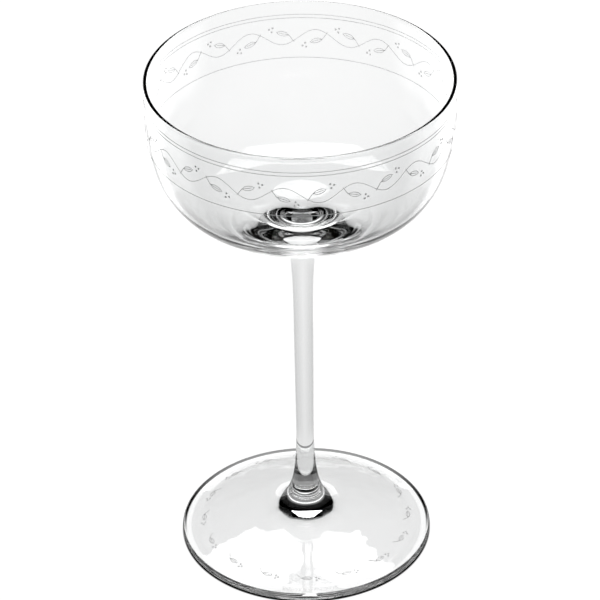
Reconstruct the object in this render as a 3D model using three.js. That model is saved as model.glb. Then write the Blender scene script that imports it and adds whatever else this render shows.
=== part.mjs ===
// A champagne coupe of clear glass: a wide shallow bowl, a drawn stem and a round foot, three pieces
// that the glassmaker fuses hot. Millimetres, +Z up, origin on the table under the middle of the foot.
import * as THREE from 'three';

// Overall sizes
const TOTAL_HEIGHT = 169.5;
const RIM_RADIUS = 47.5;
const FOOT_RADIUS = 40.3;

// Bowl: side and floor in one rounded curve outside, in a squarer one inside
const BOWL_DEPTH = 49.6; // from the rim to where the outside's curve closes
const BOWL_WALL = 1; // side wall below the rim
const BOWL_FLOOR = 5.19; // from the inside's curve down to the outside's, on the axis
const BEAD_STEP = 0.06; // how far the fire-polished rim swells past the wall, each side
const SIDE_POWER = 2.64; // squareness of the outside across the bowl
const DEPTH_POWER = 3.85; // squareness of the outside down the bowl
const INNER_SIDE_POWER = 4.36;
const INNER_DEPTH_POWER = 3.44;
const WELL_DEPTH = 2.38; // dip in the middle of the floor
const WELL_RADIUS = 16.7;
const WELL_POWER = 3.57; // how softly the dip runs out into the floor

// Stem: a slow taper between two flares, pulled upright by the stem and outwards by bowl and foot
const STEM_TOP_RADIUS = 3.15;
const STEM_WAIST_RADIUS = 2.87;
const UPPER_FLARE_HEIGHT = 47;
const UPPER_FLARE_RADIUS = 29; // where it lies on the bowl's outside
const UPPER_FLARE_PULL = 1.057; // how far up it keeps to the stem, as a share of its height
const UPPER_FLARE_SPREAD = 23.8; // how far the bowl pulls it
const LOWER_FLARE_HEIGHT = 34.1;
const LOWER_FLARE_RADIUS = 20.6; // where it lies on the foot's cone
const LOWER_FLARE_PULL = 0.74;
const LOWER_FLARE_SPREAD = 16.3;

// Seams, where the pieces are fused face to face on flat discs, as shares of the flares
const BOWL_SEAM_SHARE = 0.5;
const FOOT_SEAM_SHARE = 0.5;

// Foot: a low cone with a round edge, standing on a narrow flat ring round a shallow hollow
const FOOT_EDGE_RADIUS = 1.35;
const FOOT_SLOPE_ANGLE = THREE.MathUtils.degToRad(11.5);
const FOOT_RING_WIDTH = 4.4;
const FOOT_HOLLOW_RISE = 5.9;
const FOOT_HOLLOW_POWER = 1.58; // flatness of the hollow's middle

// Facets
const BOWL_SIDES = 64;
const STEM_SIDES = 32;
const FOOT_SIDES = 64;
const CURVE_STEPS = 16;
const FLARE_STEPS = 9;
const EDGE_STEPS = 6;

// Points of a curve from its function of t, with both ends
function sample(curve, from, to, steps) {
  const points = [];
  for (let i = 0; i <= steps; i += 1) {
    const t = THREE.MathUtils.lerp(from, to, i / steps);
    points.push(new THREE.Vector2(...curve(t)));
  }
  return points;
}

// Turns an outline of radius and height about the Z axis, from the axis at the bottom to the axis again
function turn(outline, sides) {
  return new THREE.LatheGeometry(outline, sides).rotateX(Math.PI / 2);
}

// A flare from the stem's side to a place on the bowl or foot, as a function of t from 0 to 1
function flare(start, end, pull, spread) {
  const upright = new THREE.Vector2(start.x, THREE.MathUtils.lerp(start.y, end.y, pull));
  const curve = new THREE.CubicBezierCurve(start, upright, end.clone().add(spread), end);
  return (t) => curve.getPoint(t).toArray();
}

function glass(colour) {
  return new THREE.MeshStandardMaterial({
    color: colour, roughness: 0.03, metalness: 0, transparent: true, opacity: 0.35,
  });
}

// The rim's bead is a circle that sits on the wall's middle line and runs into both faces of the wall
const beadRadius = BOWL_WALL / 2 + BEAD_STEP;
const beadCentre = RIM_RADIUS - beadRadius;
const beadTurn = Math.acos(BOWL_WALL / 2 / beadRadius);
const wallTop = TOTAL_HEIGHT - beadRadius - beadRadius * Math.sin(beadTurn);
const bead = (t) => [
  beadCentre + beadRadius * Math.cos(t),
  TOTAL_HEIGHT - beadRadius + beadRadius * Math.sin(t),
];

// Side and floor in one curve: t runs from the wall's top, 0, to the axis, a quarter turn
const bowlCurve = (radius, depth, sidePower, depthPower) => (t) => [
  radius * Math.cos(t) ** (2 / sidePower),
  wallTop - depth * Math.sin(t) ** (2 / depthPower),
];
const outerRadius = beadCentre + BOWL_WALL / 2;
const outerDepth = BOWL_DEPTH - (TOTAL_HEIGHT - wallTop);
const outerCurve = bowlCurve(outerRadius, outerDepth, SIDE_POWER, DEPTH_POWER);

// The inside follows its own curve and dips into a shallow well in the middle
const innerRadius = outerRadius - BOWL_WALL;
const innerDepth = outerDepth - BOWL_FLOOR;
const roundFloor = bowlCurve(innerRadius, innerDepth, INNER_SIDE_POWER, INNER_DEPTH_POWER);
const well = (radius) => WELL_DEPTH * Math.max(1 - (radius / WELL_RADIUS) ** 2, 0) ** WELL_POWER;
const innerCurve = (t) => {
  const [radius, height] = roundFloor(t);
  return [radius, height - well(radius)];
};

// The upper flare leaves the stem upright and lies on the bowl's outside without a crease
const undersideTurn = Math.acos((UPPER_FLARE_RADIUS / outerRadius) ** (SIDE_POWER / 2));
const [underside, further] = sample(outerCurve, undersideTurn, undersideTurn + 0.001, 1);
const bowlPull = further.sub(underside).setLength(UPPER_FLARE_SPREAD);
const stemTop = new THREE.Vector2(STEM_TOP_RADIUS, underside.y - UPPER_FLARE_HEIGHT);
const upperFlare = flare(stemTop, underside, UPPER_FLARE_PULL, bowlPull);
const bowlSeam = upperFlare(BOWL_SEAM_SHARE)[1];

// The foot's round edge runs into the cone without a crease
const edgeCentre = FOOT_RADIUS - FOOT_EDGE_RADIUS;
const footEdge = (t) => [
  edgeCentre + FOOT_EDGE_RADIUS * Math.cos(t),
  FOOT_EDGE_RADIUS + FOOT_EDGE_RADIUS * Math.sin(t),
];
const edgeTurn = Math.PI / 2 - FOOT_SLOPE_ANGLE;
const [coneRadius, coneFoot] = footEdge(edgeTurn);
const coneHeight = (radius) => coneFoot + (coneRadius - radius) * Math.tan(FOOT_SLOPE_ANGLE);

// The lower flare leaves the stem's waist upright and lies on the cone at the cone's own slope
const coneTop = new THREE.Vector2(LOWER_FLARE_RADIUS, coneHeight(LOWER_FLARE_RADIUS));
const conePull = new THREE.Vector2(-Math.cos(FOOT_SLOPE_ANGLE), Math.sin(FOOT_SLOPE_ANGLE));
const stemWaist = new THREE.Vector2(STEM_WAIST_RADIUS, coneTop.y + LOWER_FLARE_HEIGHT);
const lowerFlare = flare(stemWaist, coneTop, LOWER_FLARE_PULL, conePull.setLength(LOWER_FLARE_SPREAD));
const footSeam = lowerFlare(FOOT_SEAM_SHARE)[1];

// The hollow under the foot is a shallow dome inside the standing ring
const hollowRadius = edgeCentre - FOOT_RING_WIDTH;
const hollow = (t) => [hollowRadius * t, FOOT_HOLLOW_RISE * (1 - t ** FOOT_HOLLOW_POWER)];

function makeBowl() {
  const outline = [
    new THREE.Vector2(0, bowlSeam),
    ...sample(upperFlare, BOWL_SEAM_SHARE, 1, FLARE_STEPS),
    ...sample(outerCurve, undersideTurn, 0, CURVE_STEPS).slice(1),
    ...sample(bead, -beadTurn, Math.PI + beadTurn, EDGE_STEPS).slice(1, -1),
    ...sample(innerCurve, 0, Math.PI / 2, CURVE_STEPS).slice(0, -1),
    new THREE.Vector2(0, innerCurve(Math.PI / 2)[1]),
  ];
  return new THREE.Mesh(turn(outline, BOWL_SIDES), glass(0xf1f5f5));
}

function makeStem() {
  const outline = [
    new THREE.Vector2(0, footSeam),
    ...sample(lowerFlare, FOOT_SEAM_SHARE, 0, FLARE_STEPS),
    ...sample(upperFlare, 0, BOWL_SEAM_SHARE, FLARE_STEPS),
    new THREE.Vector2(0, bowlSeam),
  ];
  return new THREE.Mesh(turn(outline, STEM_SIDES), glass(0xeef2f2));
}

function makeFoot() {
  const outline = [
    ...sample(hollow, 0, 1, FLARE_STEPS),
    ...sample(footEdge, -Math.PI / 2, edgeTurn, EDGE_STEPS),
    ...sample(lowerFlare, 1, FOOT_SEAM_SHARE, FLARE_STEPS),
    new THREE.Vector2(0, footSeam),
  ];
  return new THREE.Mesh(turn(outline, FOOT_SIDES), glass(0xeff3f3));
}

const coupe = new THREE.Group();
const pieces = { bowl: makeBowl(), stem: makeStem(), foot: makeFoot() };
for (const [name, piece] of Object.entries(pieces)) {
  piece.name = name;
  coupe.add(piece);
}

export default coupe;
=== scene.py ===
"""A champagne coupe of clear glass: bowl, stem and foot, with engraved bands, in a white studio."""

import math

import bmesh
import bpy
from mathutils import Matrix, Quaternion, Vector


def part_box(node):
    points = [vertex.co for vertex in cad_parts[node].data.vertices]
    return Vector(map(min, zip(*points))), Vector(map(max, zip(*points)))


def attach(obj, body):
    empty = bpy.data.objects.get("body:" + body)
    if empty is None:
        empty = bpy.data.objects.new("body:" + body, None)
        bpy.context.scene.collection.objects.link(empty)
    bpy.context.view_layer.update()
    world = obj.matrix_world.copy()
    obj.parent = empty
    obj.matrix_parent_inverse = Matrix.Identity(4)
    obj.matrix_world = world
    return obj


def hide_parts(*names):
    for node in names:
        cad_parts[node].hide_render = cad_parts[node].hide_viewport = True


bl_info = {
    "name": "Champagne coupe",
    "version": (1, 0, 0),
    "blender": (4, 5, 0),
    "location": "3D View > Sidebar > Coupe",
    "description": "Models a clear glass champagne coupe with engraved bands, and its white studio",
    "category": "Object",
}

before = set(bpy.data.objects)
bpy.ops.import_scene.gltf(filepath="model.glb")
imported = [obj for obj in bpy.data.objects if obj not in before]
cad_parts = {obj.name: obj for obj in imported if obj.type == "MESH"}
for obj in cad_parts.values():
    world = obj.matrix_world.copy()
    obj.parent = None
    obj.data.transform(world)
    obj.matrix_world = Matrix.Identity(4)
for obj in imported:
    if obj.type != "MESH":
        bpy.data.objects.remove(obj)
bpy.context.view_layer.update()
BOWL_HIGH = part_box("bowl")[1]
FOOT_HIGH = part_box("foot")[1]

BODY = "root"
MM = 0.001
QUARTER = math.pi / 2
FULL = math.tau

# Meshes
MERGE_DISTANCE = 2e-7
SMOOTH_ANGLE = math.radians(35)
SMALL_TURN = 1e-4  # between the two places that give a curve's slope
LEVEL_NORMAL = 0.999  # upward part of a normal from which its face counts as level
SEAM_REACH = 0.01 * MM  # how near a seam's height a face has to lie

# Steps along the outlines
UPPER_FLARE_STEPS = 60
LOWER_FLARE_STEPS = 40
SHAFT_STEPS = 40
OUTSIDE_STEPS = 90
INSIDE_STEPS = 140
BEAD_STEPS = 24
RIM_CROWD = 1.6  # how closely the points of the bowl's sides gather towards the rim
HOLLOW_STEPS = 30
RING_STEPS = 6
EDGE_STEPS = 30
CONE_STEPS = 24

# Glass and frost
GLASS_IOR = 1.5
NOISE_DETAIL = 2.0
TONE_GRAIN = 60.0  # grains to a metre, as for the other grains
TONE_SPAN = 0.03
RED_SHARE = 0.995  # red against green and blue, for a faint coolness
WAVE_GRAIN = 70.0
FROST_GRAIN = 900.0
FROST_ROUGHNESS = 0.4  # at its smoothest
FROST_SPAN = 0.3

# Engraved drawings
HAIR_RADIUS = 50 * MM  # of a hairline before it is laid round the bowl
LEAF_CORNERS = 20
LEAF_BODY = 0.42  # half of the leaf without its pulled tips, as a share of its length
LEAF_TIP = 0.999  # share of the body's reach past which a corner is a tip
VEIN_SHARE = 0.55  # how far past the leaf's middle its vein runs, as a share of half its length
STROKE_CUTS = 4
STALK_START = (-2.2 * MM, -1.9 * MM)  # from the leaf's base
BERRY_PLACES = ((1.4 * MM, -0.2 * MM), (2.5 * MM, 0.5 * MM), (1.5 * MM, 1.2 * MM))  # from its tip
BERRY_CORNERS = 12
SPRIG_LEAN = 0.3  # turn of a sprig away from the rim's direction, in radians

# Studio
SIDE_SHADE_END = (180 * MM, 320 * MM)  # distances over which the painted shade at the table's sides ends
# Distances over which each mirrored share of the table's light runs into the next
MIRROR_RAMPS = ((41 * MM, 49 * MM), (110 * MM, 180 * MM), (280 * MM, 400 * MM))
BEHIND_GAIN = (0.3, 0.7)  # backward parts of the directions over which the mirrored table gains
BEHIND_FADE = (0.3, 1)  # and over which the painted contact shadow at the foot's edge fades
WALL_BLUR = 0.1
SKY_EDGE = 0.2  # upward part of the direction where the white behind the glass ends
SKY_BLUR = 0.1
SENSOR_WIDTH = 36
MAX_BOUNCES = 32
GLASS_BOUNCES = 24


def length(name, description, default):
    """A size in metres."""
    return bpy.props.FloatProperty(
        name=name, description=description, default=default, unit="LENGTH", precision=5)


def number(name, description, default):
    """A plain number."""
    return bpy.props.FloatProperty(name=name, description=description, default=default)


def count(name, description, default):
    """A whole number."""
    return bpy.props.IntProperty(name=name, description=description, default=default, min=1)


def angle(name, description, default):
    """An angle, given in degrees."""
    return bpy.props.FloatProperty(
        name=name, description=description, default=math.radians(default), subtype="ANGLE")


def colour(name, description, default):
    """A colour of red, green and blue."""
    return bpy.props.FloatVectorProperty(
        name=name, description=description, default=default, subtype="COLOR", size=3, min=0, max=1)


class CoupeBowl(bpy.types.PropertyGroup):
    """Sizes of the bowl."""

    rim_radius: length("Rim radius", "Outside of the rim", BOWL_HIGH[0])
    top: length("Top", "Height of the rim over the table", BOWL_HIGH[2])
    depth: length("Depth", "From the rim to where the outside would bottom out", 49.6 * MM)
    wall: length("Wall", "Side wall below the rim", 1 * MM)
    floor: length("Floor", "From the inside's curve down to the outside's, on the axis", 5.19 * MM)
    bead_step: length("Bead", "How far the rim's bead swells past the wall on each side", 0.06 * MM)
    side_power: number("Side power", "Squareness of the outside across the bowl", 2.64)
    depth_power: number("Depth power", "Squareness of the outside down the bowl", 3.85)
    inner_side_power: number("Inner side power", "Squareness of the inside across the bowl", 4.36)
    inner_depth_power: number("Inner depth power", "Squareness of the inside down the bowl", 3.44)
    well_depth: length("Well depth", "Dip in the middle of the floor", 2.38 * MM)
    well_radius: length("Well radius", "Reach of the dip in the floor", 16.7 * MM)
    well_power: number("Well power", "How softly the dip runs out into the floor", 3.57)
    clearness: number("Clearness", "Share of light that the blown glass passes", 0.985)
    wave: length("Wave", "Height of the waves in the blown glass", 0.02 * MM)
    sides: count("Sides", "Steps round the bowl", 192)


class CoupeStem(bpy.types.PropertyGroup):
    """Sizes of the stem."""

    top_radius: length("Top radius", "Where the upper flare starts", 3.15 * MM)
    waist_radius: length("Waist radius", "Where the lower flare starts", 2.87 * MM)
    upper_height: length("Upper flare height", "From the stem's top to the bowl's outside", 47 * MM)
    upper_radius: length("Upper flare radius", "Where the flare lies on the bowl's outside", 29 * MM)
    upper_pull: number("Upper flare pull", "Share of the height that the flare keeps to the stem", 1.057)
    upper_spread: length("Upper flare spread", "How far the bowl pulls the flare", 23.8 * MM)
    lower_height: length("Lower flare height", "From the stem's waist to the foot's cone", 34.1 * MM)
    lower_radius: length("Lower flare radius", "Where the flare lies on the foot's cone", 20.6 * MM)
    lower_pull: number("Lower flare pull", "Share of the height that the flare keeps to the stem", 0.74)
    lower_spread: length("Lower flare spread", "How far the foot pulls the flare", 16.3 * MM)
    bowl_seam: number("Bowl seam", "Share of the upper flare below the bowl's seam", 0.5)
    foot_seam: number("Foot seam", "Share of the lower flare above the foot's seam", 0.5)
    clearness: number("Clearness", "Share of light that the drawn glass passes", 0.9)
    wave: length("Wave", "Height of the waves in the drawn glass", 0.02 * MM)
    sides: count("Sides", "Steps round the stem", 96)


class CoupeFoot(bpy.types.PropertyGroup):
    """Sizes of the foot."""

    radius: length("Radius", "Outside of the foot", FOOT_HIGH[0])
    edge_radius: length("Edge", "Rounding of the foot's edge", 1.35 * MM)
    slope: angle("Slope", "Fall of the foot's cone", 11.5)
    ring_width: length("Ring width", "Flat ring that the foot stands on", 4.4 * MM)
    hollow_rise: length("Hollow", "Rise of the hollow under the foot", 5.9 * MM)
    hollow_power: number("Hollow power", "Flatness of the hollow's middle", 1.58)
    clearness: number("Clearness", "Share of light that the pressed glass passes", 0.985)
    wave: length("Wave", "Height of the waves in the pressed glass", 0.22 * MM)
    sides: count("Sides", "Steps round the foot", 192)


class CoupeEngraving(bpy.types.PropertyGroup):
    """Sizes and colour of the engraved bands."""

    line: length("Line", "Width of an engraved line", 0.2 * MM)
    relief: length("Relief", "Thickness of the frosted line", 0.04 * MM)
    gap: length("Gap", "Between the frosted line and the polished glass", 0.01 * MM)
    frost: colour("Frost", "Colour of the light that the frosted line passes", (0.72, 0.72, 0.72))
    upper_ring: length("Upper ring", "Depth of the upper hairline below the rim", 4.8 * MM)
    ring_step: length("Ring step", "Between the two upper hairlines", 1.2 * MM)
    lower_ring: length("Lower ring", "Depth of the lower hairline below the rim", 20 * MM)
    vine: length("Vine", "Depth of the vine's middle below the rim", 12.8 * MM)
    swing: length("Swing", "How far the vine swings up and down", 2.6 * MM)
    waves: count("Waves", "Waves of the vine round the bowl", 14)
    leaf_length: length("Leaf length", "From tip to tip", 4.4 * MM)
    leaf_width: length("Leaf width", "Across the leaf", 1.7 * MM)
    leaf_shift: length("Leaf shift", "From the vine's middle to a leaf's, up or down", 1.3 * MM)
    berry: length("Berry", "Radius of a berry", 0.36 * MM)
    foot_band: length("Foot band", "Radius of the sprigs on the foot", 33.2 * MM)
    foot_scale: number("Foot scale", "Size of the sprigs on the foot against the bowl's", 0.8)
    foot_sprigs: count("Foot sprigs", "Sprigs round the foot", 16)
    sides: count("Sides", "Steps round a hairline", 336)


class CoupeStage(bpy.types.PropertyGroup):
    """The studio and the camera."""

    floor_size: length("Floor size", "Side of the square table top", 12)
    floor_drop: length("Floor drop", "Gap between the foot and the table top", 0.05 * MM)
    floor_grey: number("Floor grey", "How pale the table top is by itself", 0.2)
    # Painted shade: the table glows less beside the glass and lifts to the open table's glow further off
    painted_shade_near: number("Near glow", "Light that comes up through the table beside the glass", 0.9)
    glow_far: number("Far glow", "Light that comes up through the table away from the glass", 0.97)
    near_radius: length("Near radius", "Where the table starts to get brighter", 60 * MM)
    far_radius: length("Far radius", "Where the table is brightest", 160 * MM)
    # Painted shade: the table glows less towards its sides beside the glass
    painted_side_shade: number("Side fall", "Share of its light that the table lacks beside the glass", 0.3)
    # Painted light: a brighter ring in the table's glow under the foot's edge
    rim_start: length("Rim start", "Inner edge of the bright ring under the foot", 37.2 * MM)
    painted_ring_light: number("Rim glow", "Light that comes up through that ring", 1.1)
    # Painted contact shadow: a dark line in the table's glow and colour at the foot's edge
    contact_radius: length("Contact radius", "Middle of the dark line at the foot's edge", 39.6 * MM)
    contact_width: length("Contact width", "Reach of the dark line to each side", 0.75 * MM)
    contact_blur: length("Contact blur", "Softness of the dark line's edges", 0.3 * MM)
    contact_front: number("Contact front", "Light the dark line keeps back in front and at the sides", 1)
    contact_back: number("Contact back", "Light that the dark line keeps back behind", 0.6)
    front_edge: length("Front edge", "From the stem to where the mirrored table goes dark", 25 * MM)
    front_blur: number("Front blur", "Softness of that edge, as a share of its distance", 0.18)
    mirror_under: number("Mirrored under", "Share of the light under the foot that is mirrored", 0.2)
    mirror_near: number("Mirrored near", "Share of the light beside the foot that is mirrored", 0.75)
    mirror_middle: number("Mirrored middle", "Share of the light further off that is mirrored", 1.15)
    mirror_far: number("Mirrored far", "Share of the light far off that is mirrored", 0.35)
    mirror_behind: number("Mirrored behind", "What the mirrored table gains straight behind", 0.9)
    wall_top: number("Wall top", "Upward part of the direction to the pale wall's upper edge", 0.155)
    wall_spread: angle("Wall spread", "Half of the pale wall's width, seen from the glass", 60)
    wall_glow: number("Wall glow", "Brightness of the pale wall in the glass", 0.3)
    lamp_aim: length("Lamp aim", "Height of the place on the stem that the softbox faces", 0.06)
    lamp_distance: length("Lamp distance", "From that place to the softbox", 1.2)
    lamp_elevation: angle("Lamp elevation", "How high the softbox stands behind the glass", 57.5)
    lamp_turn: angle("Lamp turn", "How far the softbox stands to the left", 2.3)
    lamp_width: length("Lamp width", "Width of the softbox", 0.7)
    lamp_height: length("Lamp height", "Height of the softbox", 0.53)
    lamp_radiance: number("Lamp radiance", "Brightness of the softbox against the white wall", 4.5)
    camera_distance: length("Camera distance", "From the stem's axis, along the floor", 0.9756)
    camera_height: length("Camera height", "Over the table", 0.7385)
    camera_lens: number("Lens", "Focal length in millimetres", 224.02)
    camera_pitch: angle("Pitch", "How far the camera looks down", 33.672)
    camera_yaw: angle("Yaw", "How far the camera looks to the right", -0.057)
    camera_roll: angle("Roll", "Turn of the camera about its own axis", -0.856)


SETTINGS = {"coupe_bowl": CoupeBowl, "coupe_stem": CoupeStem, "coupe_foot": CoupeFoot,
            "coupe_engraving": CoupeEngraving, "coupe_stage": CoupeStage}


def sample(curve, start, end, steps, crowd=1.0):
    """Points of a curve of t, both ends included; crowd above 1 gathers them towards the start."""
    return [curve(start + (end - start) * (i / steps) ** crowd) for i in range(steps + 1)]


def flare(start, end, pull, spread):
    """A cubic curve of t from the stem's side, which it leaves upright, to the bowl or the foot."""
    upright = Vector((start.x, start.y + (end.y - start.y) * pull))
    outwards = end + spread

    def point(t):
        u = 1 - t
        return tuple(u ** 3 * start + 3 * u * u * t * upright + 3 * u * t * t * outwards + t ** 3 * end)
    return point


class BowlShape:
    """The bowl's curves, as (radius, height) of a turn t."""

    def __init__(self, size):
        self.size = size
        self.bead_radius = size.wall / 2 + size.bead_step
        self.bead_centre = size.rim_radius - self.bead_radius
        self.bead_turn = math.acos(size.wall / 2 / self.bead_radius)
        self.wall_top = size.top - self.bead_radius * (1 + math.sin(self.bead_turn))
        self.outer_radius = self.bead_centre + size.wall / 2
        self.outer_depth = size.depth - (size.top - self.wall_top)

    def bead(self, t):
        """The rim's bead, a circle that runs into both faces of the wall."""
        radius = self.bead_centre + self.bead_radius * math.cos(t)
        return radius, self.size.top - self.bead_radius + self.bead_radius * math.sin(t)

    def outer(self, t):
        """The outside, from the wall's top, 0, to the axis, a quarter turn."""
        across = max(math.cos(t), 0) ** (2 / self.size.side_power)
        down = math.sin(t) ** (2 / self.size.depth_power)
        return self.outer_radius * across, self.wall_top - self.outer_depth * down

    def inner(self, t):
        """The inside, likewise, with the dip in the middle of its floor."""
        across = max(math.cos(t), 0) ** (2 / self.size.inner_side_power)
        down = math.sin(t) ** (2 / self.size.inner_depth_power)
        radius = (self.outer_radius - self.size.wall) * across
        dip = max(1 - (radius / self.size.well_radius) ** 2, 0) ** self.size.well_power
        floor = self.wall_top - (self.outer_depth - self.size.floor) * down
        return radius, floor - self.size.well_depth * dip

    def turn_at(self, radius):
        """The turn at which the outside has this radius."""
        return math.acos((radius / self.outer_radius) ** (self.size.side_power / 2))

    def slope_at(self, radius):
        """Unit step along the outside, downwards and inwards."""
        turn = self.turn_at(radius)
        step = Vector(self.outer(turn + SMALL_TURN)) - Vector(self.outer(turn))
        return step.normalized()

    def on_wall(self, turn, depth, lift):
        """A place on the outside, at a turn from the front and a depth below the rim."""
        height = self.size.top - depth
        share = max(self.wall_top - height, 0) / self.outer_depth
        radius = self.outer_radius * (1 - share ** self.size.depth_power) ** (1 / self.size.side_power)
        return (radius + lift) * math.sin(turn), -(radius + lift) * math.cos(turn), height


class FootShape:
    """The foot's curves, as (radius, height)."""

    def __init__(self, size):
        self.size = size
        self.edge_centre = size.radius - size.edge_radius
        self.edge_turn = QUARTER - size.slope
        self.hollow_radius = self.edge_centre - size.ring_width

    def hollow(self, t):
        """The hollow underneath, from its middle, 0, to the standing ring, 1."""
        return self.hollow_radius * t, self.size.hollow_rise * (1 - t ** self.size.hollow_power)

    def ring(self, t):
        """The flat ring that the foot stands on, from the hollow, 0, to the edge, 1."""
        return self.hollow_radius + self.size.ring_width * t, 0

    def edge(self, t):
        """The round edge, from straight down to the turn at which the cone starts."""
        radius = self.edge_centre + self.size.edge_radius * math.cos(t)
        return radius, self.size.edge_radius * (1 + math.sin(t))

    def cone(self, radius):
        """The sloping top at this radius."""
        edge_radius, edge_height = self.edge(self.edge_turn)
        return radius, edge_height + (edge_radius - radius) * math.tan(self.size.slope)

    def on_cone(self, turn, radius, lift):
        """A place on the foot's top, at a turn from the front and a radius."""
        return radius * math.sin(turn), -radius * math.cos(turn), self.cone(radius)[1] + lift


class StemShape:
    """The stem's curves, as (radius, height); a flare's t runs from the shaft, 0, outwards to 1."""

    def __init__(self, size, bowl, foot):
        self.size = size
        meeting = Vector(bowl.outer(bowl.turn_at(size.upper_radius)))
        spread = bowl.slope_at(size.upper_radius) * size.upper_spread
        top = Vector((size.top_radius, meeting.y - size.upper_height))
        self.upper = flare(top, meeting, size.upper_pull, spread)
        meeting = Vector(foot.cone(size.lower_radius))
        slope = foot.size.slope
        spread = Vector((-math.cos(slope), math.sin(slope))) * size.lower_spread
        waist = Vector((size.waist_radius, meeting.y + size.lower_height))
        self.lower = flare(waist, meeting, size.lower_pull, spread)
        self.bowl_seam = self.upper(size.bowl_seam)[1]
        self.foot_seam = self.lower(size.foot_seam)[1]

    def shaft(self, t):
        """The slow taper from the lower flare, 0, to the upper one, 1."""
        return tuple(low + (high - low) * t for low, high in zip(self.lower(0), self.upper(0)))


def shapes():
    """The three pieces' curves from the scene's settings."""
    scene = bpy.context.scene
    bowl = BowlShape(scene.coupe_bowl)
    foot = FootShape(scene.coupe_foot)
    return bowl, StemShape(scene.coupe_stem, bowl, foot), foot


def deselect():
    """Leaves nothing selected."""
    if bpy.context.object and bpy.context.object.mode == "EDIT":
        bpy.ops.object.mode_set(mode="OBJECT")
    bpy.ops.object.select_all(action="DESELECT")


def named(piece, name):
    """Names a piece and its mesh."""
    piece.name = name
    piece.data.name = name
    return piece


def finished(name):
    """Leaves edit mode with faces outward and names the piece."""
    bpy.ops.mesh.select_all(action="SELECT")
    bpy.ops.mesh.normals_make_consistent(inside=False)
    bpy.ops.object.mode_set(mode="OBJECT")
    return named(bpy.context.object, name)


def turned(name, outline, sides):
    """Draws an outline by extruding one point along it and spins it about Z into a closed piece."""
    deselect()
    bpy.ops.mesh.primitive_plane_add(size=MM, enter_editmode=True, location=(0, 0, 0))
    bpy.ops.mesh.merge(type="CENTER")
    bpy.ops.transform.translate(value=(outline[0][0], 0, outline[0][1]))
    for (r0, z0), (r1, z1) in zip(outline, outline[1:]):
        bpy.ops.mesh.extrude_region_move(TRANSFORM_OT_translate={"value": (r1 - r0, 0, z1 - z0)})
    bpy.ops.mesh.select_all(action="SELECT")
    bpy.ops.mesh.spin(steps=sides, angle=FULL, center=(0, 0, 0), axis=(0, 0, 1))
    bpy.ops.mesh.select_all(action="SELECT")
    bpy.ops.mesh.remove_doubles(threshold=MERGE_DISTANCE)
    piece = finished(name)
    bpy.ops.object.shade_smooth_by_angle(angle=SMOOTH_ANGLE)
    return piece


def fuse(piece, *seams):
    """Gives the level faces at these heights the fused seam's material, so light passes them unbent."""
    piece.data.materials.append(seam_material())
    for face in piece.data.polygons:
        level = abs(face.normal.z) > LEVEL_NORMAL
        if level and any(abs(face.center.z - height) < SEAM_REACH for height in seams):
            face.material_index = 1


def place(piece, node):
    """The piece stands for its CAD node, which it hides, and is attached to the body."""
    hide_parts(node)
    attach(piece, BODY)


class Wire:
    """A socket of a node tree. Sums, differences and products of wires add Math nodes."""

    def __init__(self, tree, socket):
        self.tree = tree
        self.socket = socket

    @classmethod
    def node(cls, tree, kind, settings=None, sockets=None, output=0):
        """Adds a node: its settings are set first, then its sockets get values or wires."""
        added = tree.nodes.new(kind)
        for name, value in (settings or {}).items():
            setattr(added, name, value)
        for name, value in (sockets or {}).items():
            if isinstance(value, Wire):
                tree.links.new(value.socket, added.inputs[name])
            else:
                added.inputs[name].default_value = value
        return cls(tree, added.outputs[output]) if added.outputs else None

    def math(self, operation, first, second):
        """A Math node on two wires or numbers."""
        return Wire.node(self.tree, "ShaderNodeMath", {"operation": operation}, {0: first, 1: second})

    def step(self, edge, blur):
        """From 0 below an edge to 1 above it."""
        return Wire.node(self.tree, "ShaderNodeMapRange", {"interpolation_type": "SMOOTHSTEP"}, {
            "Value": self, "From Min": edge - blur, "From Max": edge + blur})

    def ramp(self, low, high):
        """From 0 at the low end to 1 at the high one."""
        return self.step((low + high) / 2, (high - low) / 2)

    def parts(self, axes):
        """The parts of a vector along these axes."""
        return [Wire.node(self.tree, "ShaderNodeSeparateXYZ", None, {"Vector": self}, output=axis)
                for axis in axes]

    def __add__(self, other):
        return self.math("ADD", self, other)

    __radd__ = __add__

    def __sub__(self, other):
        return self.math("SUBTRACT", self, other)

    def __rsub__(self, other):
        return self.math("SUBTRACT", other, self)

    def __mul__(self, other):
        return self.math("MULTIPLY", self, other)

    __rmul__ = __mul__

    def __truediv__(self, other):
        return self.math("DIVIDE", self, other)

    def __pow__(self, other):
        return self.math("POWER", self, other)

    def __or__(self, other):
        """The larger of the two."""
        return self.math("MAXIMUM", self, other)


def new_material(name):
    """An empty node material and its tree, or the material of that name that is there, and None."""
    if name in bpy.data.materials:
        return bpy.data.materials[name], None
    material = bpy.data.materials.new(name)
    material.use_nodes = True
    material.node_tree.nodes.clear()
    return material, material.node_tree


def surface(tree, shader):
    """Joins a shader to the material's output."""
    Wire.node(tree, "ShaderNodeOutputMaterial", None, {"Surface": shader})


def noise(tree, grain):
    """Soft noise through the object's own space, with this many grains to a metre."""
    space = Wire.node(tree, "ShaderNodeTexCoord", output="Object")
    return Wire.node(tree, "ShaderNodeTexNoise", None, {
        "Vector": space, "Scale": grain, "Detail": NOISE_DETAIL})


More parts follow.
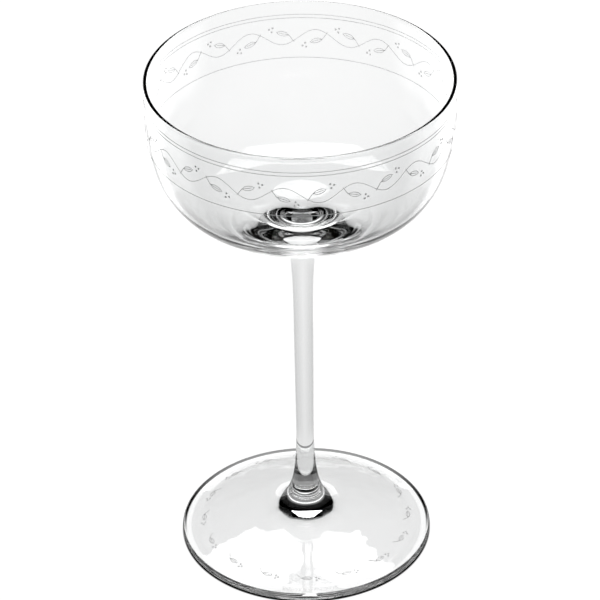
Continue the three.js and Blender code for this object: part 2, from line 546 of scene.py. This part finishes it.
def glass_material(name, size):
    """Polished glass as clear as the piece's settings say, a trace less in places, and as wavy."""
    material, tree = new_material(name)
    if tree:
        tone = noise(tree, TONE_GRAIN) * TONE_SPAN + (size.clearness - TONE_SPAN / 2)
        melt = Wire.node(tree, "ShaderNodeCombineColor", None, {0: tone * RED_SHARE, 1: tone, 2: tone})
        waves = Wire.node(tree, "ShaderNodeBump", None, {
            "Height": noise(tree, WAVE_GRAIN), "Distance": size.wave})
        surface(tree, Wire.node(tree, "ShaderNodeBsdfPrincipled", None, {
            "Base Color": melt, "Roughness": 0.0, "IOR": GLASS_IOR, "Transmission Weight": 1.0,
            "Normal": waves}))
    return material


def frost_material(cut):
    """Glass ground matt by the engraver's wheel, rougher in some strokes than in others."""
    material, tree = new_material("engraved_frost")
    if tree:
        roughness = noise(tree, FROST_GRAIN) * FROST_SPAN + FROST_ROUGHNESS
        surface(tree, Wire.node(tree, "ShaderNodeBsdfPrincipled", None, {
            "Base Color": (*cut.frost, 1), "Roughness": roughness, "IOR": GLASS_IOR,
            "Transmission Weight": 1.0}))
    return material


def seam_material():
    """Fused glass inside a seam, which light passes straight through."""
    material, tree = new_material("fused_seam")
    if tree:
        surface(tree, Wire.node(tree, "ShaderNodeBsdfTransparent"))
    return material


class COUPE_OT_bowl(bpy.types.Operator):
    """Turns the bowl with its bead, thin wall, thickened floor and the end of the stem's flare"""

    bl_idname = "coupe.bowl"
    bl_label = "Bowl"

    def execute(self, context):
        bowl, stem, _ = shapes()
        meeting = bowl.turn_at(stem.size.upper_radius)
        outline = [
            (0, stem.bowl_seam),
            *sample(stem.upper, stem.size.bowl_seam, 1, UPPER_FLARE_STEPS),
            *reversed(sample(bowl.outer, 0, meeting, OUTSIDE_STEPS, RIM_CROWD)[:-1]),
            *sample(bowl.bead, -bowl.bead_turn, math.pi + bowl.bead_turn, BEAD_STEPS)[1:-1],
            *sample(bowl.inner, 0, QUARTER, INSIDE_STEPS, RIM_CROWD),
        ]
        piece = turned("glass_bowl", outline, bowl.size.sides)
        piece.data.materials.append(glass_material("blown_glass", bowl.size))
        fuse(piece, stem.bowl_seam)
        place(piece, "bowl")
        return {"FINISHED"}


class COUPE_OT_stem(bpy.types.Operator):
    """Turns the stem with its slow taper and its two flares"""

    bl_idname = "coupe.stem"
    bl_label = "Stem"

    def execute(self, context):
        _, stem, _ = shapes()
        outline = [
            (0, stem.foot_seam),
            *reversed(sample(stem.lower, 0, stem.size.foot_seam, LOWER_FLARE_STEPS)),
            *sample(stem.shaft, 0, 1, SHAFT_STEPS)[1:-1],
            *sample(stem.upper, 0, stem.size.bowl_seam, UPPER_FLARE_STEPS),
            (0, stem.bowl_seam),
        ]
        piece = turned("glass_stem", outline, stem.size.sides)
        piece.data.materials.append(glass_material("drawn_glass", stem.size))
        fuse(piece, stem.foot_seam, stem.bowl_seam)
        place(piece, "stem")
        return {"FINISHED"}


class COUPE_OT_foot(bpy.types.Operator):
    """Turns the foot with its cone, round edge, standing ring and hollow"""

    bl_idname = "coupe.foot"
    bl_label = "Foot"

    def execute(self, context):
        _, stem, foot = shapes()
        cone_end = foot.edge(foot.edge_turn)[0]
        outline = [
            *sample(foot.hollow, 0, 1, HOLLOW_STEPS),
            *sample(foot.ring, 0, 1, RING_STEPS)[1:-1],
            *sample(foot.edge, -QUARTER, foot.edge_turn, EDGE_STEPS),
            *sample(foot.cone, cone_end, stem.size.lower_radius, CONE_STEPS)[1:-1],
            *sample(stem.lower, 1, stem.size.foot_seam, LOWER_FLARE_STEPS),
            (0, stem.foot_seam),
        ]
        piece = turned("glass_foot", outline, foot.size.sides)
        piece.data.materials.append(glass_material("pressed_glass", foot.size))
        fuse(piece, stem.foot_seam)
        place(piece, "foot")
        return {"FINISHED"}


def thicken(relief):
    """Extrudes the flat drawing that is being edited into a thin closed plate."""
    bpy.ops.mesh.select_all(action="SELECT")
    bpy.ops.mesh.extrude_region_move(TRANSFORM_OT_translate={"value": (0, 0, relief)})


def flat_leaf(cut):
    """An outlined leaf along X: a circle stretched, its tips pulled out and its middle taken out."""
    deselect()
    bpy.ops.mesh.primitive_circle_add(
        vertices=LEAF_CORNERS, radius=1, fill_type="NGON", enter_editmode=True)
    bpy.ops.transform.resize(value=(cut.leaf_length * LEAF_BODY, cut.leaf_width / 2, 1))
    mesh = bpy.context.object.data
    drawing = bmesh.from_edit_mesh(mesh)
    reach = max(vertex.co.x for vertex in drawing.verts)
    for vertex in drawing.verts:
        vertex.select_set(abs(vertex.co.x) > reach * LEAF_TIP)
    drawing.select_flush_mode()
    bmesh.update_edit_mesh(mesh)
    bpy.ops.transform.resize(value=(cut.leaf_length / 2 / reach, 1, 1))
    bpy.ops.mesh.select_all(action="SELECT")
    bpy.ops.mesh.inset(thickness=cut.line, depth=0)
    bpy.ops.mesh.delete(type="FACE")
    thicken(cut.relief)
    return finished("leaf")


def flat_stroke(cut, start, end):
    """A straight engraved stroke between two places on the drawing."""
    deselect()
    step = Vector(end) - Vector(start)
    bpy.ops.mesh.primitive_plane_add(size=1, enter_editmode=True)
    bpy.ops.transform.resize(value=(step.length, cut.line, 1))
    bpy.ops.mesh.subdivide(number_cuts=STROKE_CUTS)
    thicken(cut.relief)
    stroke = finished("stroke")
    middle = Vector(start) + step / 2
    turn = Matrix.Rotation(math.atan2(step.y, step.x), 4, "Z")
    stroke.data.transform(Matrix.Translation((*middle, 0)) @ turn)
    return stroke


def flat_berry(cut, middle):
    """A round engraved dot."""
    deselect()
    bpy.ops.mesh.primitive_circle_add(
        vertices=BERRY_CORNERS, radius=cut.berry, fill_type="NGON", enter_editmode=True)
    thicken(cut.relief)
    berry = finished("berry")
    berry.data.transform(Matrix.Translation((*middle, 0)))
    return berry


def joined(pieces, name):
    """Joins pieces into one."""
    deselect()
    for piece in pieces:
        piece.select_set(True)
    bpy.context.view_layer.objects.active = pieces[0]
    bpy.ops.object.join()
    return named(bpy.context.object, name)


def flat_sprig(cut):
    """A leaf with its vein, the stalk that joins it to the vine, and three berries, drawn flat."""
    half = cut.leaf_length / 2
    stalk_x, stalk_y = STALK_START
    return joined([
        flat_leaf(cut),
        flat_stroke(cut, (-half, 0), (half * VEIN_SHARE, 0)),
        flat_stroke(cut, (-half + stalk_x, stalk_y), (-half, 0)),
        *[flat_berry(cut, (half + x, y)) for x, y in BERRY_PLACES],
    ], "sprig")


def copied(piece, place_at):
    """A copy with its own mesh, every vertex moved by a function of its place on the drawing."""
    copy = piece.copy()
    copy.data = piece.data.copy()
    bpy.context.collection.objects.link(copy)
    for vertex in copy.data.vertices:
        vertex.co = place_at(*vertex.co)
    return copy


def hairline(cut):
    """A ring of oblong section round Z, one line wide and as thick as the relief."""
    low, high = -cut.line / 2, cut.line / 2
    out = HAIR_RADIUS + cut.relief
    outline = [(HAIR_RADIUS, low), (out, low), (out, high), (HAIR_RADIUS, high), (HAIR_RADIUS, low)]
    return turned("hairline", outline, cut.sides)


def engraved(name, cut, pieces, drawings):
    """Joins the pieces into one frosted piece and takes the drawings away."""
    piece = joined(pieces, name)
    deselect()
    for drawing in drawings:
        drawing.select_set(True)
    bpy.ops.object.delete()
    deselect()
    piece.select_set(True)
    bpy.context.view_layer.objects.active = piece
    bpy.ops.object.mode_set(mode="EDIT")
    piece = finished(name)
    piece.data.materials.clear()
    piece.data.materials.append(frost_material(cut))
    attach(piece, BODY)


class COUPE_OT_band(bpy.types.Operator):
    """Engraves hairlines and a running vine with leaves and berries round the bowl's outside"""

    bl_idname = "coupe.band"
    bl_label = "Engraved band"

    def execute(self, context):
        bowl, _, _ = shapes()
        cut = context.scene.coupe_engraving
        ring = hairline(cut)
        sprig = flat_sprig(cut)

        def ringed(depth, swing=0):
            """A hairline round the bowl at this depth, swinging up and down if it is the vine."""
            def place_at(x, y, z):
                turn = math.atan2(x, -y)
                below = depth + swing * math.sin(cut.waves * turn)
                return bowl.on_wall(turn, below - z, cut.gap + math.hypot(x, y) - HAIR_RADIUS)
            return copied(ring, place_at)

        def sprigged(k):
            """A sprig on the vine's k-th half wave, turned over on every other one."""
            turn = (k + 0.5) * math.pi / cut.waves
            side = 1 if k % 2 else -1
            lean = side * SPRIG_LEAN

            def place_at(x, y, z):
                along = x * math.cos(lean) - side * y * math.sin(lean)
                down = x * math.sin(lean) + side * y * math.cos(lean)
                return bowl.on_wall(turn + along / bowl.outer_radius,
                                    cut.vine + side * cut.leaf_shift + down, cut.gap + z)
            return copied(sprig, place_at)

        pieces = [
            ringed(cut.upper_ring),
            ringed(cut.upper_ring + cut.ring_step),
            ringed(cut.lower_ring),
            ringed(cut.vine, cut.swing),
            *[sprigged(k) for k in range(2 * cut.waves)],
        ]
        engraved("engraved_band", cut, pieces, (ring, sprig))
        return {"FINISHED"}


class COUPE_OT_foot_band(bpy.types.Operator):
    """Engraves a wreath of sprigs on the foot"""

    bl_idname = "coupe.foot_band"
    bl_label = "Engraved foot"

    def execute(self, context):
        _, _, foot = shapes()
        cut = context.scene.coupe_engraving
        sprig = flat_sprig(cut)

        def sprigged(k):
            """The k-th sprig of the wreath, lying along it."""
            turn = k * FULL / cut.foot_sprigs

            def place_at(x, y, z):
                along = cut.foot_scale * x / cut.foot_band
                return foot.on_cone(turn + along, cut.foot_band + cut.foot_scale * y, cut.gap + z)
            return copied(sprig, place_at)

        engraved("engraved_foot", cut, [sprigged(k) for k in range(cut.foot_sprigs)], (sprig,))
        return {"FINISHED"}


def light_path(tree, output):
    """What kind of light ray is looked up."""
    return Wire.node(tree, "ShaderNodeLightPath", output=output)


def mirrored(tree):
    """1 for light that the glass has mirrored, at its face or within; 0 where it only passed through."""
    return light_path(tree, "Glossy Depth").ramp(0, 1)


def grey(tree, level):
    """A grey of this level."""
    return Wire.node(tree, "ShaderNodeCombineColor", None, {channel: level for channel in range(3)})


def painted_table_glow(stage, radius, aside):
    """Glow of the table as light from under it, with painted shade beside the glass and towards its
    sides, and painted light in a ring under the foot's edge.
    """
    # Painted shade beside the glass, rising to the open table's glow
    rise = radius.ramp(stage.near_radius, stage.far_radius)
    # Painted light in a ring under the foot's edge
    ring = (radius.step(stage.rim_start, stage.contact_blur)
            - radius.step(stage.contact_radius, stage.contact_blur))
    glow = rise * (stage.glow_far - stage.painted_shade_near) + stage.painted_shade_near
    glow = glow + ring * (stage.painted_ring_light - stage.painted_shade_near)
    # Painted shade towards the table's sides beside the glass
    side_shade_reach = radius.ramp(stage.contact_radius, stage.near_radius) * (1 - radius.ramp(*SIDE_SHADE_END))
    return glow * (1 - stage.painted_side_shade * side_shade_reach * aside)


def mirrored_share(stage, radius, y):
    """Share of the table's light that is mirrored: by distance, none in front, more straight behind."""
    shares = (stage.mirror_under, stage.mirror_near, stage.mirror_middle, stage.mirror_far)
    share = shares[0]
    for inner, outer, ramp in zip(shares, shares[1:], MIRROR_RAMPS):
        share = share + (outer - inner) * radius.ramp(*ramp)
    gain = 1 + stage.mirror_behind * (y / radius).ramp(*BEHIND_GAIN)
    front = ((y + stage.front_edge) / radius).step(0, stage.front_blur)
    return front * share * gain


def painted_contact_shadow(stage, radius, y):
    """The painted contact shadow where the foot's edge meets the table, fainter behind: 0 is dark, 1
    clear.
    """
    inner, outer = (radius.step(stage.contact_radius + reach, stage.contact_blur)
                    for reach in (-stage.contact_width, stage.contact_width))
    fade = (y / radius).ramp(*BEHIND_FADE)
    return 1 - (inner - outer) * (stage.contact_front - (stage.contact_front - stage.contact_back) * fade)


def floor_material(stage):
    """White table top, glowing as if lit from below, with painted shade beside the glass, painted light
    in a ring under the foot's edge and a painted contact shadow at the foot's edge.

    In light that the glass mirrors, the table is dark in front and under the foot.
    """
    material, tree = new_material("table_top")
    if tree:
        space = Wire.node(tree, "ShaderNodeTexCoord", output="Object")
        radius = Wire.node(
            tree, "ShaderNodeVectorMath", {"operation": "LENGTH"}, {0: space}, output="Value")
        x, y = space.parts("XY")
        aside = (x * x) ** 0.5 / radius
        contact_shadow = painted_contact_shadow(stage, radius, y)
        # The painted contact shadow darkens both the table's colour and its glow
        open_to_light = (1 - mirrored(tree) * (1 - mirrored_share(stage, radius, y))) * contact_shadow
        seen = light_path(tree, "Is Camera Ray") * contact_shadow
        glow = painted_table_glow(stage, radius, aside) * open_to_light | seen
        surface(tree, Wire.node(tree, "ShaderNodeBsdfPrincipled", None, {
            "Base Color": grey(tree, open_to_light * stage.floor_grey), "Roughness": 1.0,
            "Specular IOR Level": 0.0, "Emission Color": grey(tree, glow), "Emission Strength": 1.0}))
    return material


def studio_world(stage):
    """White to the eye and straight through the glass, which mirrors darkness and a low pale wall."""
    world = bpy.data.worlds.new("studio")
    world.use_nodes = True
    tree = world.node_tree
    tree.nodes.clear()
    x, y, z = Wire.node(tree, "ShaderNodeTexCoord", output="Generated").parts("XYZ")
    behind = (y / (x * x + y * y) ** 0.5).step(math.cos(stage.wall_spread), WALL_BLUR)
    wall = behind * (1 - z.step(stage.wall_top, WALL_BLUR)) * stage.wall_glow
    passed = light_path(tree, "Is Transmission Ray") * (1 - mirrored(tree))
    level = wall | passed * (1 - z.step(SKY_EDGE, SKY_BLUR)) | light_path(tree, "Is Camera Ray")
    sky = Wire.node(tree, "ShaderNodeBackground", None, {"Color": grey(tree, level)})
    Wire.node(tree, "ShaderNodeOutputWorld", None, {"Surface": sky})
    bpy.context.scene.world = world


def direction(turn, rise):
    """Unit step towards the back, turned to the right and raised."""
    level = math.cos(rise)
    return Vector((math.sin(turn) * level, math.cos(turn) * level, math.sin(rise)))


def add_camera(stage):
    """The camera, where the photograph was taken from."""
    deselect()
    bpy.ops.object.camera_add(location=(0, -stage.camera_distance, stage.camera_height))
    camera = bpy.context.object
    ahead = direction(stage.camera_yaw, -stage.camera_pitch)
    roll = Quaternion((0, 0, 1), stage.camera_roll)
    camera.rotation_euler = (ahead.to_track_quat("-Z", "Y") @ roll).to_euler()
    camera.data.sensor_width = SENSOR_WIDTH
    camera.data.lens = stage.camera_lens
    bpy.context.scene.camera = camera


def add_softbox(stage):
    """A soft lamp behind and above, aimed at the glass, as bright as a multiple of the white wall."""
    deselect()
    towards = direction(-stage.lamp_turn, stage.lamp_elevation)
    aim = Vector((0, 0, stage.lamp_aim))
    bpy.ops.object.light_add(type="AREA", location=aim + towards * stage.lamp_distance)
    lamp = bpy.context.object
    lamp.name = "softbox"
    lamp.rotation_euler = (-towards).to_track_quat("-Z", "Y").to_euler()
    lamp.data.shape = "RECTANGLE"
    lamp.data.size = stage.lamp_width
    lamp.data.size_y = stage.lamp_height
    lamp.data.energy = stage.lamp_radiance * math.pi * stage.lamp_width * stage.lamp_height
    lamp.visible_camera = False


class COUPE_OT_stage(bpy.types.Operator):
    """Sets the white table, the studio light and the camera"""

    bl_idname = "coupe.stage"
    bl_label = "Stage"

    def execute(self, context):
        scene = context.scene
        stage = scene.coupe_stage
        deselect()
        bpy.ops.mesh.primitive_plane_add(size=stage.floor_size, enter_editmode=True, location=(0, 0, 0))
        bpy.ops.transform.translate(value=(0, 0, -stage.floor_drop))
        floor = finished("table")
        floor.data.materials.append(floor_material(stage))
        studio_world(stage)
        add_softbox(stage)
        add_camera(stage)
        scene.view_settings.view_transform = "Standard"
        scene.cycles.max_bounces = MAX_BOUNCES
        scene.cycles.glossy_bounces = GLASS_BOUNCES
        scene.cycles.transmission_bounces = GLASS_BOUNCES
        return {"FINISHED"}


OPERATORS = (COUPE_OT_bowl, COUPE_OT_stem, COUPE_OT_foot, COUPE_OT_band, COUPE_OT_foot_band,
             COUPE_OT_stage)


class COUPE_PT_sidebar(bpy.types.Panel):
    """Lists the coupe's pieces and the stage"""

    bl_idname = "COUPE_PT_sidebar"
    bl_label = "Champagne coupe"
    bl_space_type = "VIEW_3D"
    bl_region_type = "UI"
    bl_category = "Coupe"

    def draw(self, context):
        for operator in OPERATORS:
            self.layout.operator(operator.bl_idname)


def register():
    """Registers the settings, the operators and the panel."""
    for name, group in SETTINGS.items():
        bpy.utils.register_class(group)
        setattr(bpy.types.Scene, name, bpy.props.PointerProperty(type=group))
    for operator in OPERATORS:
        bpy.utils.register_class(operator)
    bpy.utils.register_class(COUPE_PT_sidebar)


def unregister():
    """Takes away what register added."""
    bpy.utils.unregister_class(COUPE_PT_sidebar)
    for operator in reversed(OPERATORS):
        bpy.utils.unregister_class(operator)
    for name, group in reversed(SETTINGS.items()):
        delattr(bpy.types.Scene, name)
        bpy.utils.unregister_class(group)


def main():
    """Builds the coupe and its stage."""
    register()
    bpy.ops.coupe.bowl()
    bpy.ops.coupe.stem()
    bpy.ops.coupe.foot()
    bpy.ops.coupe.band()
    bpy.ops.coupe.foot_band()
    bpy.ops.coupe.stage()


if __name__ == "__main__":
    main()
